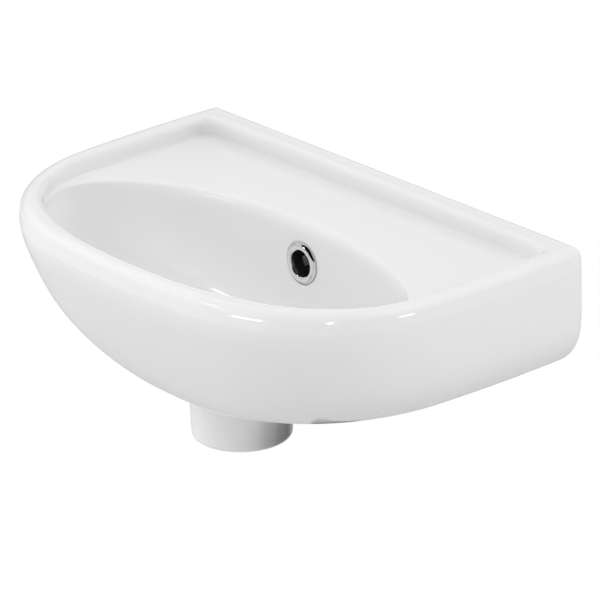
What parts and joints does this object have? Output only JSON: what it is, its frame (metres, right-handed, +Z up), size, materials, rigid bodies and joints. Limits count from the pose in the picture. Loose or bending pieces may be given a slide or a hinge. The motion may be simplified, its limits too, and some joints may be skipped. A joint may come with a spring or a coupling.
{
  "type": "wall hung basin",
  "caption": "Small D-shaped wall hung hand basin in glazed white china, with a back shelf, chromed overflow ring, outlet boss and wall bolts.",
  "frame": {"origin": "on the wall, midway between the two fixing bolts", "axes": "+X along the wall towards the basin's right as seen from the room, +Y into the wall, +Z up"},
  "size_m": [0.3608, 0.2929, 0.146],
  "materials": {
    "china": "glossy white glaze",
    "chrome": "polished",
    "black_rubber": "matt",
    "zinc_steel": "bright zinc plate",
    "nylon": "natural nylon"
  },
  "bodies": {
    "root": {"basin_body": "china", "overflow_ring": "chrome", "overflow_sleeve": "black_rubber", "hanger_bolt_left": "zinc_steel", "hanger_bolt_right": "zinc_steel", "fixing_bush_left": "nylon", "fixing_bush_right": "nylon", "fixing_washer_left": "zinc_steel", "fixing_washer_right": "zinc_steel", "fixing_nut_left": "zinc_steel", "fixing_nut_right": "zinc_steel"}
  },
  "joints": []
}
